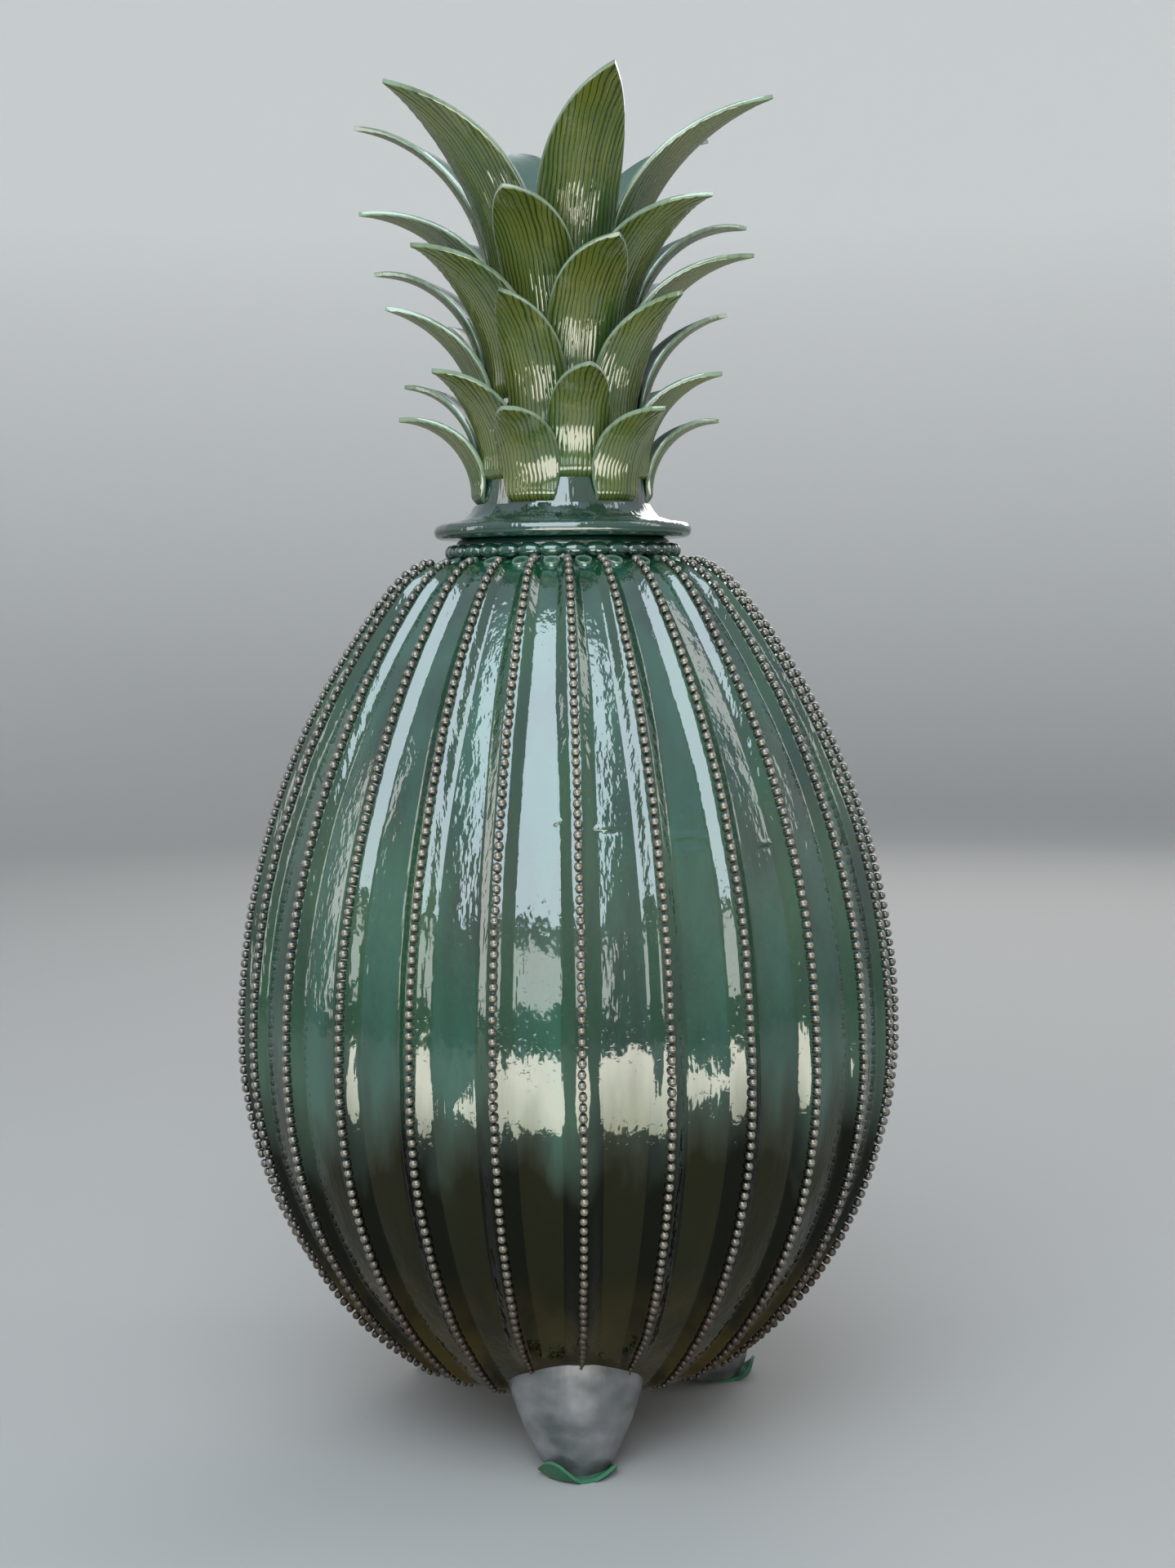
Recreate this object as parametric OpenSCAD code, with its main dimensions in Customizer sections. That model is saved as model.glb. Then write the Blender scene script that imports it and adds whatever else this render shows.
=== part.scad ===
// Glazed earthenware pineapple jar: a ribbed and beaded body on three feet,
// with a lift-off lid whose handle is a crown of leaves.
// Millimetres, +Z up, origin on the table under the middle of the jar, front towards -Y.

/* [Body] */
// Radius of the plain wall at the widest place
belly_r = 155; // [145:1:165]
// Height of the widest place above the table
belly_z = 191; // [185:1:200]
// Height of the flat underside above the table
base_z = 28; // [24:1:34]
// Radius of the arc from the widest place down to the base
lower_arc_r = 198; // [190:1:215]
// Radius of the arc from the widest place up to the shoulder
upper_arc_r = 340; // [320:1:370]
// Radius of the arc that rounds the shoulder
shoulder_arc_r = 51; // [46:1:56]
// Height at which the shoulder arc starts
shoulder_z = 402; // [398:1:406]
// Thickness of the clay wall
wall = 7; // [5:0.5:9]
// Thickness of the floor of the jar
floor_t = 8; // [6:0.5:12]
// Height of the seam between the lower and the upper shell
seam_z = 308; // [280:1:330]

/* [Neck] */
// Outer radius of the neck
neck_r = 52; // [50:0.5:54]
// Height of the rim that the lid rests on
rim_z = 430.2; // [428:0.2:434]
// Radius of the clay coil that makes the collar
collar_coil_r = 3.2; // [2.6:0.1:3.6]
// Height of the middle of the collar
collar_z = 423.8; // [423:0.1:425]
// Distance of the middle of the coil from the neck
collar_out = 1.9; // [1:0.1:2.5]
// Number of finger marks round the collar
collar_marks = 32; // [20:1:40]
// Depth of each finger mark
collar_mark_depth = 1.4; // [0.8:0.1:2]
// Radius of each petal below the collar
petal_r = 3.5; // [2.5:0.1:4]
// Thickness of each petal
petal_t = 1.6; // [1:0.1:2.4]
// Distance that a petal's upper face stays inside its foot
petal_edge = 0.7; // [0.3:0.1:1.2]

/* [Ribs] */
// Number of ribs round the body
ribs = 26; // [20:1:26]
// Turn of the first rib from the front
rib_turn = 2; // [0:0.5:10]
// Width of a rib at its foot
rib_w = 14.4; // [10:0.2:15]
// Width of the flat crest that carries the beads
crest_w = 4.6; // [4.2:0.2:6]
// Height of a rib above the wall
rib_h = 3.3; // [2:0.1:4.5]
// Width of a bead
bead_w = 3.8; // [3:0.1:4.2]
// Distance that the beads rise above the crest
bead_rise = 3.6; // [2.4:0.1:4]
// Play between the lengths of clay that make one rib
length_play = 0.04; // [0.02:0.01:0.1]
// Play under what is laid on the curved wall
lay_play = 0.1; // [0.05:0.05:0.2]
// Height of the lower end of a rib above the underside
rib_lift = 3; // [1:0.5:8]
// Distance of the upper ends of the ribs from the jar's axis
rib_top_r = 64; // [62:0.5:70]

/* [Feet] */
// Distance that each foot stands out past the edge of the underside, at the table
foot_out = 18.6; // [12:0.2:24]
// Outward lean of a foot from the vertical
foot_lean = 24; // [15:1:30]
// Radius of a foot at its lower end
foot_low_r = 13.5; // [12:0.5:18]
// Radius of a foot where it meets the body
foot_top_r = 30; // [26:0.5:34]
// Height of the upper end of a foot above the table
foot_h = 50; // [46:1:56]
// Radius of a foot half way up
foot_mid_r = 23.6; // [20:0.2:27]
// Turn of the front foot from the front
front_foot_turn = 1; // [-5:1:5]
// Turn of the rear right foot
right_foot_turn = 121; // [110:1:128]
// Turn of the rear left foot
left_foot_turn = -135; // [-140:1:-110]
// Thickness of the felt pad under a foot
pad_t = 1.6; // [1:0.1:3]
// Distance that the felt shows round the end of the foot
pad_edge = 1; // [0.5:0.1:2]

/* [Lid] */
// Outer radius of the flange
flange_r = 62.4; // [60:0.2:66]
// Thickness of the flange
flange_t = 7.2; // [6:0.2:9]
// Depth of the ring that drops into the neck
plug_h = 16; // [10:1:24]
// Thickness of the ring
plug_t = 5.5; // [4:0.5:7]
// Play between the ring and the neck
plug_play = 0.8; // [0.5:0.1:1.5]
// Height of the cone between the flange and the crown
cone_h = 8.6; // [6:0.2:12]
// Width of the ledge round the foot of the crown
cone_edge = 2; // [1:0.5:4]
// Thickness of the floor of the lid
lid_floor_t = 7; // [5:0.5:8]
// Radius of the vent hole that lets the hollow crown dry and fire
vent_r = 4; // [3:0.5:6]

/* [Crown] */
// Radius of the core at its foot
stem_r = 41; // [38:0.5:44]
// Radius of the core at its upper end
stem_top_r = 31; // [30:0.5:34]
// Height of the tapered part of the core
stem_h = 102; // [95:1:115]
// Thickness of the wall of the core
stem_wall = 6; // [4:0.5:8]
// Thickness of a leaf
leaf_t = 3; // [2.2:0.1:3.6]
// Play between a leaf and the core
leaf_play = 0.2; // [0.1:0.05:0.3]
// Number of leaves in each row
leaves = 6; // [5:1:6]
// Height of the foot of each row above the foot of the core
row_foot = [1, 16, 32, 51, 71, 91]; // [0:1:95]
// Outward reach of the tips of each row, from the foot of the leaf
row_reach = [36, 39, 45, 57, 61, 71]; // [30:1:80]
// Rise of the tips of each row, from the foot of the leaf
row_rise = [40, 44, 61, 64, 65, 96]; // [36:1:105]
// Greatest width of the leaves of each row
row_width = [31, 31, 32, 37, 38, 41]; // [24:1:42]
// Width of the leaves of each row at their foot
row_foot_w = [22, 19, 20, 18, 16, 7]; // [6:1:22]
// Turn of the first leaf of each row from the front
row_turn = [-21, 11, -17, 16, -14, 13]; // [-30:1:30]

/* [Hidden] */
$fn = 96;

GLAZE = [0.06, 0.30, 0.19];
BARE = [0.52, 0.47, 0.38];
LEAF = [0.33, 0.42, 0.17];
FELT = [0.16, 0.45, 0.32];

// Distance that the shoulder's arc stands proud where it leaves the upper arc, so that the two cross
arc_lap = 0.05;
// Number of sides of the section of a row of beads
bead_sides = 8;
// Half of the turn that a leaf is swept through before it is cut to its outline
leaf_sweep = 60;
// Turn that a leaf is swept past its tip before it is cut to its outline
tip_sweep = 5;

// Centres of the three arcs of the wall, as [radius, height]
lower_c = [belly_r - lower_arc_r, belly_z];
upper_c = [belly_r - upper_arc_r, belly_z];
shoulder_a = asin((shoulder_z - belly_z) / upper_arc_r);
shoulder_c = upper_c + (upper_arc_r - shoulder_arc_r + arc_lap) * [cos(shoulder_a), sin(shoulder_a)];

// Angles on those arcs where a rib starts and ends
rib_low_a = -asin((belly_z - base_z - rib_lift) / lower_arc_r);
rib_top_a = acos((rib_top_r - shoulder_c[0]) / shoulder_arc_r);

bore_r = neck_r - wall;
stem_z = rim_z + flange_t + cone_h;
stem_slope = atan((stem_r - stem_top_r) / stem_h);
base_r = lower_c[0] + sqrt(lower_arc_r * lower_arc_r - (belly_z - base_z) * (belly_z - base_z));
foot_ring_r = base_r + foot_out;
foot_len = foot_h / cos(foot_lean);
foot_turns = [front_foot_turn, right_foot_turn, left_foot_turn];

// Turns what stands on the +X side to a place counted from the front
module at_turn(turn) {
    rotate(turn - 90)
        children();
}

// Half of the body's section below the widest place, filled, inset by a wall
module lower_outline(inset) {
    low = base_z + (inset > 0 ? floor_t : inset);
    intersection() {
        translate(lower_c) circle(lower_arc_r - inset);
        translate([0, low]) square([2 * belly_r, belly_z - low]);
    }
}

// Half of the body's whole section, filled, inset by a wall
module body_outline(inset) {
    shoulder_r = shoulder_arc_r - inset;
    turn_z = shoulder_z - inset * sin(shoulder_a);
    lower_outline(inset);
    intersection() {
        translate(upper_c) circle(upper_arc_r - inset);
        translate([0, belly_z]) square([2 * belly_r, turn_z - belly_z]);
    }
    intersection() {
        translate(upper_c) circle(upper_arc_r - inset);
        translate(shoulder_c) circle(shoulder_r);
        translate([shoulder_c[0], turn_z]) square(shoulder_r);
    }
    translate([0, turn_z]) square([shoulder_c[0], shoulder_c[1] + shoulder_r - turn_z]);
}

// Half of the section of the hollow body with its neck
module shell_section() {
    difference() {
        union() {
            body_outline(0);
            translate([0, shoulder_z]) square([neck_r, rim_z - shoulder_z]);
        }
        body_outline(wall);
        translate([0, shoulder_c[1]]) square([bore_r, rim_z]);
    }
}

module jar_lower_shell() {
    color(GLAZE)
        rotate_extrude()
            intersection() {
                shell_section();
                square([2 * belly_r, seam_z]);
            }
}

module jar_upper_shell() {
    color(GLAZE)
        rotate_extrude()
            intersection() {
                shell_section();
                translate([0, seam_z]) square([2 * belly_r, rim_z]);
            }
}

module neck_collar() {
    coil_r = neck_r + collar_out;
    mark_r = PI * neck_r / collar_marks;
    color(GLAZE)
        difference() {
            rotate_extrude()
                difference() {
                    translate([coil_r, collar_z]) circle(collar_coil_r);
                    body_outline(-lay_play);
                    square([neck_r + lay_play, rim_z]);
                }
            for (i = [0:collar_marks - 1])
                rotate(i * 360 / collar_marks)
                    translate([coil_r + collar_coil_r - collar_mark_depth + mark_r, 0, collar_z])
                        sphere(mark_r);
        }
}

module shoulder_petals() {
    petal_a = (rib_top_a + acos((neck_r + 2 * collar_coil_r - shoulder_c[0]) / shoulder_arc_r)) / 2;
    color(GLAZE)
        for (i = [0:ribs - 1])
            at_turn(rib_turn + (i + 0.5) * 360 / ribs)
                translate([shoulder_c[0], 0, shoulder_c[1]])
                    rotate([0, 90 - petal_a, 0])
                        translate([0, 0, shoulder_arc_r + lay_play])
                            cylinder(petal_t, petal_r, petal_r - petal_edge);
}

// Sweeps a section, drawn at its distance from the arc's centre, along an arc of the wall
module along_arc(centre, from_a, to_a) {
    translate([centre[0], 0, centre[1]])
        rotate([90, 0, 0])
            rotate(from_a)
                rotate_extrude(angle = to_a - from_a)
                    children();
}

// Lays one rib's length of clay on each of the wall's arcs, with a little play where they meet
module lay_rib(start_a) {
    play_a = length_play / shoulder_arc_r * 180 / PI;
    along_arc(lower_c, start_a, -play_a) children(0);
    along_arc(upper_c, 0, shoulder_a - play_a) children(1);
    along_arc(shoulder_c, shoulder_a, rib_top_a) children(2);
}

module rib_section(arc_r) {
    polygon([
        [arc_r + lay_play, -rib_w / 2],
        [arc_r + rib_h, -crest_w / 2],
        [arc_r + rib_h, crest_w / 2],
        [arc_r + lay_play, rib_w / 2]
    ]);
}

// A row of beads, seen along its length, standing on the rib's crest
module bead_section(arc_r) {
    middle = arc_r + rib_h + lay_play + bead_rise / 2;
    side_a = 180 / bead_sides;
    polygon([
        for (i = [0:bead_sides - 1])
            let (a = (2 * i + 1) * side_a)
            [middle + bead_rise / 2 * cos(a) / cos(side_a), bead_w / 2 * sin(a) / cos(side_a)]
    ]);
}

// Lower end of a rib: ribs that run into a foot stop above it
function rib_start(turn) =
    let (near = min([for (f = foot_turns) abs((turn - f + 540) % 360 - 180)]))
    let (foot_half = asin((foot_top_r + rib_w / 2) / foot_ring_r))
    near < foot_half
        ? -asin((belly_z - foot_h - rib_h) / lower_arc_r)
        : rib_low_a;

module rib_strips() {
    color(GLAZE)
        for (i = [0:ribs - 1]) {
            turn = rib_turn + i * 360 / ribs;
            at_turn(turn)
                lay_rib(rib_start(turn)) {
                    rib_section(lower_arc_r);
                    rib_section(upper_arc_r);
                    rib_section(shoulder_arc_r);
                }
        }
}

module rib_beads() {
    color(BARE)
        for (i = [0:ribs - 1]) {
            turn = rib_turn + i * 360 / ribs;
            at_turn(turn)
                lay_rib(rib_start(turn)) {
                    bead_section(lower_arc_r);
                    bead_section(upper_arc_r);
                    bead_section(shoulder_arc_r);
                }
        }
}

// A leaning, swelling cone, cut flat over its pad and at its upper end, and hollowed to fit the body
module foot(turn) {
    color(GLAZE)
        rotate(turn)
            difference() {
                translate([0, -foot_ring_r, 0])
                    rotate([-foot_lean, 0, 0])
                        rotate_extrude()
                            polygon([
                                [0, -foot_low_r],
                                [foot_low_r, -foot_low_r],
                                [foot_low_r, 0],
                                [foot_mid_r, foot_len / 2],
                                [foot_top_r, foot_len],
                                [0, foot_len]
                            ]);
                translate([0, 0, pad_t - foot_len]) cylinder(foot_len, r = 2 * foot_ring_r);
                translate([0, 0, foot_h]) cylinder(foot_len, r = 2 * foot_ring_r);
                rotate_extrude() lower_outline(-lay_play);
            }
}

module foot_pad(turn) {
    color(FELT)
        at_turn(turn)
            translate([foot_ring_r, 0, 0])
                cylinder(pad_t, r = foot_low_r / cos(foot_lean) + pad_edge);
}

module lid_saucer() {
    plug_r = bore_r - plug_play;
    rim_r = flange_t / 2;
    color(GLAZE)
        rotate_extrude() {
            polygon([
                [vent_r, stem_z - lid_floor_t],
                [plug_r - plug_t, stem_z - lid_floor_t],
                [plug_r - plug_t, rim_z - plug_h],
                [plug_r, rim_z - plug_h],
                [plug_r, rim_z],
                [flange_r - rim_r, rim_z],
                [flange_r - rim_r, rim_z + flange_t],
                [stem_r + cone_edge, stem_z],
                [vent_r, stem_z]
            ]);
            translate([flange_r - rim_r, rim_z + rim_r]) circle(rim_r);
        }
}

module crown_stem() {
    color(GLAZE)
        rotate_extrude()
            difference() {
                stem_outline(0);
                stem_outline(stem_wall);
            }
}

module stem_outline(inset) {
    translate([0, stem_z]) {
        polygon([[0, 0], [stem_r - inset, 0], [stem_top_r - inset, stem_h], [0, stem_h]]);
        intersection() {
            translate([0, stem_h]) circle(stem_top_r - inset);
            translate([0, stem_h]) square(stem_top_r);
        }
    }
}

// Pointed outline of a leaf: two arcs that meet at the tip, cut off at its foot
module leaf_outline(chord, width, foot_w) {
    // The widest place lies where arcs through the tip leave the wanted width at the foot
    tip = chord / (1 + sqrt(1 - foot_w / width));
    side_r = (tip * tip + width * width / 4) / width;
    intersection() {
        translate([chord - tip, side_r - width / 2]) circle(side_r);
        translate([chord - tip, width / 2 - side_r]) circle(side_r);
        translate([-leaf_t, -width]) square([chord + leaf_t, 2 * width]);
    }
}

// One leaf: a curved slab swept round the core's axis and cut to the leaf's outline
module leaf(row, place) {
    reach = row_reach[row];
    rise = row_rise[row];
    chord = norm([reach, rise]);
    chord_a = atan2(rise, reach);
    // The leaf leaves the core along its slope, so its arc turns by twice the chord's angle to it
    bend = 2 * (90 + stem_slope - chord_a);
    arc_r = chord / (2 * sin(bend / 2));
    foot_r = stem_r - row_foot[row] * tan(stem_slope) + leaf_play + leaf_t / 2;
    foot_z = stem_z + row_foot[row];
    color(LEAF)
        at_turn(row_turn[row] + place * 360 / leaves)
            intersection() {
                rotate(-leaf_sweep)
                    rotate_extrude(angle = 2 * leaf_sweep)
                        translate([foot_r, foot_z])
                            translate(arc_r * [cos(stem_slope), sin(stem_slope)])
                                intersection() {
                                    difference() {
                                        circle(arc_r + leaf_t / 2);
                                        circle(arc_r - leaf_t / 2);
                                    }
                                    rotate(180 + stem_slope)
                                        mirror([0, 1])
                                            polygon([
                                                [0, 0],
                                                [2 * arc_r, 0],
                                                2 * arc_r * [cos(bend / 2), sin(bend / 2)],
                                                2 * arc_r * [cos(bend + tip_sweep), sin(bend + tip_sweep)]
                                            ]);
                                }
                translate([foot_r, 0, foot_z])
                    rotate([0, -chord_a, 0])
                        translate([0, 0, -chord])
                            linear_extrude(2 * chord)
                                leaf_outline(chord, row_width[row], row_foot_w[row]);
            }
}

jar_lower_shell();
jar_upper_shell();
neck_collar();
shoulder_petals();
rib_strips();
rib_beads();
foot(front_foot_turn);  // foot_front
foot(right_foot_turn);  // foot_rear_right
foot(left_foot_turn);  // foot_rear_left
foot_pad(front_foot_turn);  // foot_pad_front
foot_pad(right_foot_turn);  // foot_pad_rear_right
foot_pad(left_foot_turn);  // foot_pad_rear_left
lid_saucer();
crown_stem();
for (row = [0:len(row_foot) - 1], place = [0:leaves - 1])
    leaf(row, place);
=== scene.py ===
"""Looks of a green-glazed pineapple jar, laid out as a Blender add-on and run as a script."""

import math
import random

import bmesh
import bpy
from bpy.props import FloatProperty, FloatVectorProperty, IntProperty, PointerProperty
from mathutils import Matrix, Vector, noise


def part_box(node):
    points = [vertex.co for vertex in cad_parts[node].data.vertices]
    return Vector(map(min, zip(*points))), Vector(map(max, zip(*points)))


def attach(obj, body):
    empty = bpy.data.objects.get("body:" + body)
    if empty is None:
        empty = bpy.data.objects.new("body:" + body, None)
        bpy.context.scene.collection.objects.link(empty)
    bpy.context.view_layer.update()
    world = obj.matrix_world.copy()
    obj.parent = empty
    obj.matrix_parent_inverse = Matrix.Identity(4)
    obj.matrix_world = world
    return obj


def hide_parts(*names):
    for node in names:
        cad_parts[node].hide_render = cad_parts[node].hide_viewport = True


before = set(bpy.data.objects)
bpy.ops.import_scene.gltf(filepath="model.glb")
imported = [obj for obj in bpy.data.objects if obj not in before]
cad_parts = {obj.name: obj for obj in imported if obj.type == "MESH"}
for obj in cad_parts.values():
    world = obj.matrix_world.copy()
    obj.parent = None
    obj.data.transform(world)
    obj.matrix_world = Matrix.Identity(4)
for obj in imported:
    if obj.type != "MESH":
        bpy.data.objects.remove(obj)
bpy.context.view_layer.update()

bl_info = {
    "name": "Pineapple jar",
    "version": (1, 0, 0),
    "blender": (4, 5, 0),
    "location": "View3D > Sidebar > Pineapple Jar",
    "description": "Builds a glazed earthenware pineapple jar with a leaf-crowned lid",
    "category": "Add Mesh",
}

LOWER_LOW, LOWER_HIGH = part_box("jar_lower_shell")
RIM_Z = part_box("jar_upper_shell")[1].z
LID_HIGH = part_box("lid_saucer")[1]
FEET = ("front", "rear_right", "rear_left")
LEAF_ROWS = 6
CREASE = math.radians(50)
# Half of a rib's section, from its foot to its crest, as shares of its half width and its height
RIB_SECTION = (
    (1.06, -0.04), (1.0, 0.0), (0.93, 0.015), (0.86, 0.06), (0.80, 0.14), (0.73, 0.25),
    (0.57, 0.53), (0.39, 0.86), (0.32, 0.95), (0.25, 0.99), (0.11, 1.0),
)


def length(label, text, default):
    """A length that a user may change, in metres."""
    return FloatProperty(name=label, description=text, default=default, unit="LENGTH", precision=4)


def row_lengths(label, text, *default):
    """A length for each row of leaves, in metres."""
    return FloatVectorProperty(
        name=label, description=text, default=default, size=LEAF_ROWS, unit="LENGTH", precision=4
    )


def angle(label, text, degrees):
    """An angle that a user may change, written here in degrees."""
    return FloatProperty(name=label, description=text, default=math.radians(degrees), subtype="ANGLE")


def number(label, text, default):
    """A number of like pieces that a user may change."""
    return IntProperty(name=label, description=text, default=default, min=3)


def refraction(label, text, default):
    """An index of refraction that a user may change."""
    return FloatProperty(name=label, description=text, default=default, min=1.0)


def colour(label, text, default):
    """A linear colour that a user may change."""
    return FloatVectorProperty(
        name=label, description=text, default=default, subtype="COLOR", size=3, min=0.0, max=1.0
    )


class BodySizes(bpy.types.PropertyGroup):
    """Sizes of the jar's ribbed body."""

    lower_arc: length("Lower arc", "Radius of the wall's arc below the belly", 0.198)
    upper_arc: length("Upper arc", "Radius of the wall's arc above the belly", 0.340)
    shoulder_arc: length("Shoulder arc", "Radius of the arc that rounds the shoulder", 0.051)
    belly_z: length("Belly height", "Height of the widest place above the table", 0.191)
    shoulder_z: length("Shoulder height", "Height at which the shoulder's arc starts", 0.402)
    scar_h: length("Scar", "Height of the lip that the seam left on the wall", 0.0014)
    scar_tilt: length("Scar tilt", "How far the scar wanders up and down from the seam", 0.020)
    wall: length("Wall", "Thickness of the clay wall", 0.007)
    floor: length("Floor", "Thickness of the jar's floor", 0.008)
    neck_r: length("Neck radius", "Outer radius of the neck", 0.052)
    rib_w: length("Rib width", "Width of a rib at its foot, with the fillets that run out into the wall", 0.0176)
    rib_h: length("Rib height", "Height of a rib above the wall", 0.0033)
    rib_lift: length("Rib lift", "Height of a rib's lower end above the underside", 0.003)
    rib_top_r: length("Rib top", "Distance of the ribs' upper ends from the axis", 0.0605)
    bead_r: length("Bead radius", "Radius of a clay bead", 0.0021)
    bead_pitch: length("Bead pitch", "Distance from bead to bead", 0.0046)
    collar_z: length("Collar height", "Height of the middle of the collar", 0.4238)
    collar_r: length("Collar coil", "Radius of the coil that makes the collar", 0.0034)
    collar_out: length("Collar offset", "Distance of the coil's middle from the neck", 0.0019)
    petal_w: length("Petal width", "Half width of a petal below the collar", 0.0042)
    petal_l: length("Petal length", "Length of a petal below the collar", 0.0105)
    petal_t: length("Petal thickness", "Thickness of a petal", 0.0018)
    ribs: number("Ribs", "Number of ribs round the body", 26)
    lobes: number("Lobes", "Number of pressed lobes round the collar", 32)
    rib_turn: angle("Rib turn", "Turn of the first rib from the front", 2)


class FootSizes(bpy.types.PropertyGroup):
    """Sizes of the three feet and their felt pads."""

    lean: angle("Lean", "Outward lean of a foot", 24)
    low_r: length("Lower radius", "Radius of a foot at its lower end", 0.0140)
    mid_r: length("Middle radius", "Radius of a foot half way up", 0.0274)
    top_r: length("Upper radius", "Radius of a foot where it meets the body", 0.0350)
    height: length("Height", "Height of the upper end of a foot above the table", 0.050)
    end_round: length("End rounding", "How far a foot draws in at its lower end", 0.0016)
    facet: length("Facet", "Depth of the soft facets that shaping by hand left on a foot", 0.0004)
    felt_t: length("Felt", "Thickness of the felt under a foot", 0.0016)
    felt_rim: length("Felt rim", "Distance that the felt reaches past the end of a foot", 0.0018)
    felt_fold: length("Felt fold", "Length of felt in a fold", 0.003)


class CrownSizes(bpy.types.PropertyGroup):
    """Sizes of the lid and its crown of leaves."""

    flange_t: length("Flange", "Thickness of the lid's flange", 0.0072)
    plug_h: length("Plug depth", "Depth of the ring that drops into the neck", 0.016)
    plug_t: length("Plug wall", "Thickness of that ring", 0.0055)
    plug_play: length("Plug play", "Play between that ring and the neck", 0.0008)
    lid_floor: length("Lid floor", "Thickness of the lid's floor", 0.007)
    vent_r: length("Vent", "Radius of the vent hole under the hollow crown", 0.004)
    groove: length("Groove", "Depth of the groove inside the flange's rim", 0.0011)
    stem_r: length("Core radius", "Radius of the core at its foot", 0.041)
    stem_top_r: length("Core top", "Radius of the core at its upper end", 0.031)
    stem_h: length("Core height", "Height of the tapered part of the core", 0.102)
    stem_cap: length("Core cap", "Height of the rounded cap that closes the core", 0.014)
    stem_wall: length("Core wall", "Thickness of the core's wall", 0.006)
    leaf_t: length("Leaf thickness", "Thickness of a leaf", 0.003)
    leaf_play: length("Leaf play", "Play between a leaf and the core", 0.0002)
    comb_depth: length("Comb depth", "Depth of the combed lines on a leaf", 0.0005)
    comb_pitch: length("Comb pitch", "Distance between the combed lines", 0.0020)
    leaves: number("Leaves", "Number of leaves in a row", 6)
    row_foot: row_lengths(
        "Row feet", "Height of each row's foot above the core's foot", 0.001, 0.012, 0.031, 0.050, 0.070, 0.090
    )
    row_reach: row_lengths(
        "Row reach", "Outward reach of each row's tips", 0.036, 0.039, 0.045, 0.057, 0.061, 0.071
    )
    row_rise: row_lengths("Row rise", "Rise of each row's tips", 0.040, 0.048, 0.062, 0.065, 0.066, 0.097)
    row_width: row_lengths(
        "Row width", "Greatest width of each row's leaves", 0.031, 0.031, 0.032, 0.037, 0.038, 0.041
    )
    row_foot_w: row_lengths(
        "Row foot width", "Width of each row's leaves at their foot", 0.022, 0.019, 0.020, 0.018, 0.016, 0.020
    )
    row_turn: FloatVectorProperty(
        name="Row turn", description="Turn of each row's first leaf from the front",
        default=[math.radians(a) for a in (-21, 11, -17, 16, -14, 13)], size=LEAF_ROWS, subtype="EULER",
    )


class GlazeColours(bpy.types.PropertyGroup):
    """Colours of the glazes, the clay and the felt."""

    deep: colour("Deep glaze", "Glaze where it lies thick", (0.004, 0.022, 0.013))
    bright: colour("Bright glaze", "Glaze where it lies thin", (0.012, 0.066, 0.042))
    flank: colour("Rib glaze", "Glaze on the ribs' flanks", (0.007, 0.048, 0.018))
    lid: colour("Lid glaze", "Glaze on the lid and the core", (0.006, 0.034, 0.024))
    # The umber below the belly is painted dark reflection of a table, partly thicker glaze
    umber_and_painted_reflection: colour("Umber glaze", "Dark lustre below the belly", (0.032, 0.028, 0.010))
    ochre: colour("Bare ochre", "Clay that shows through near the base", (0.130, 0.090, 0.015))
    # The pale grey of the feet is painted reflection and painted highlights, laid in brush-shaped patches over the
    # slate glaze
    worn_and_painted_light: colour("Worn glaze", "Greyed glaze on the feet", (0.185, 0.178, 0.188))
    slate: colour("Slate glaze", "Darker glaze that lies in patches on the feet", (0.044, 0.052, 0.048))
    # A bead is paler on its crown, where the glaze is worn thin and light is painted, and near black toward the wall
    # and in the gaps, where shade is painted
    taupe: colour("Bead", "Crown of a bead, where the glaze is worn thin", (0.155, 0.136, 0.092))
    dark_glaze_and_painted_shade: colour("Bead gap", "Glaze that gathers between the beads", (0.012, 0.011, 0.006))
    # The dull brown of the low beads is painted shade and a painted reflection of a brown table
    clay: colour("Low bead", "Dull glaze on the beads near the base", (0.085, 0.060, 0.048))
    olive: colour("Leaf ridge", "Olive glaze on a leaf's combed ridges", (0.086, 0.108, 0.020))
    moss: colour("Leaf groove", "Darker glaze in a leaf's combed lines", (0.006, 0.014, 0.004))
    leaf_green: colour("Leaf green", "Green glaze that runs down a leaf", (0.014, 0.066, 0.020))
    # The pale rim colour is a painted highlight on the rims of the leaves and the petals
    painted_rim_highlight: colour("Leaf rim", "Pale glaze on a rim", (0.170, 0.250, 0.180))
    teal: colour("Leaf inside", "Glaze on a leaf's smooth inner face", (0.008, 0.052, 0.030))
    felt: colour("Felt", "Green felt under the feet", (0.013, 0.108, 0.045))
    felt_edge: colour("Felt edge", "Paler cut edge of the felt", (0.028, 0.155, 0.073))
    floor: colour("Floor", "Pale floor", (0.340, 0.328, 0.315))
    wall: colour("Backdrop", "Pale backdrop above the floor", (0.920, 0.890, 0.855))


class JarSettings(bpy.types.PropertyGroup):
    """Everything that a user may change on the jar."""

    body: PointerProperty(type=BodySizes)
    feet: PointerProperty(type=FootSizes)
    crown: PointerProperty(type=CrownSizes)
    colours: PointerProperty(type=GlazeColours)
    glaze_ior: refraction("Glaze IOR", "Index of refraction of the body's glaze", 2.0)
    leaf_ior: refraction("Leaf IOR", "Index of refraction of the glaze on the leaves and the beads", 2.0)


def settings():
    """The jar's settings in the current scene."""
    return bpy.context.scene.pineapple_jar


# Places on the jar


def turn_of(point):
    """Turn of a point from the front."""
    return math.atan2(point.x, -point.y)


def turn_between(first, second):
    """Turn from one direction to another, the shorter way round."""
    return (second - first + math.pi) % math.tau - math.pi


def place(turn, out, side, z):
    """A point by its turn from the front, its distance out from the axis, its sideways offset and its height."""
    c, s = math.cos(turn), math.sin(turn)
    return Vector((out * s + side * c, -out * c + side * s, z))


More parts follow.
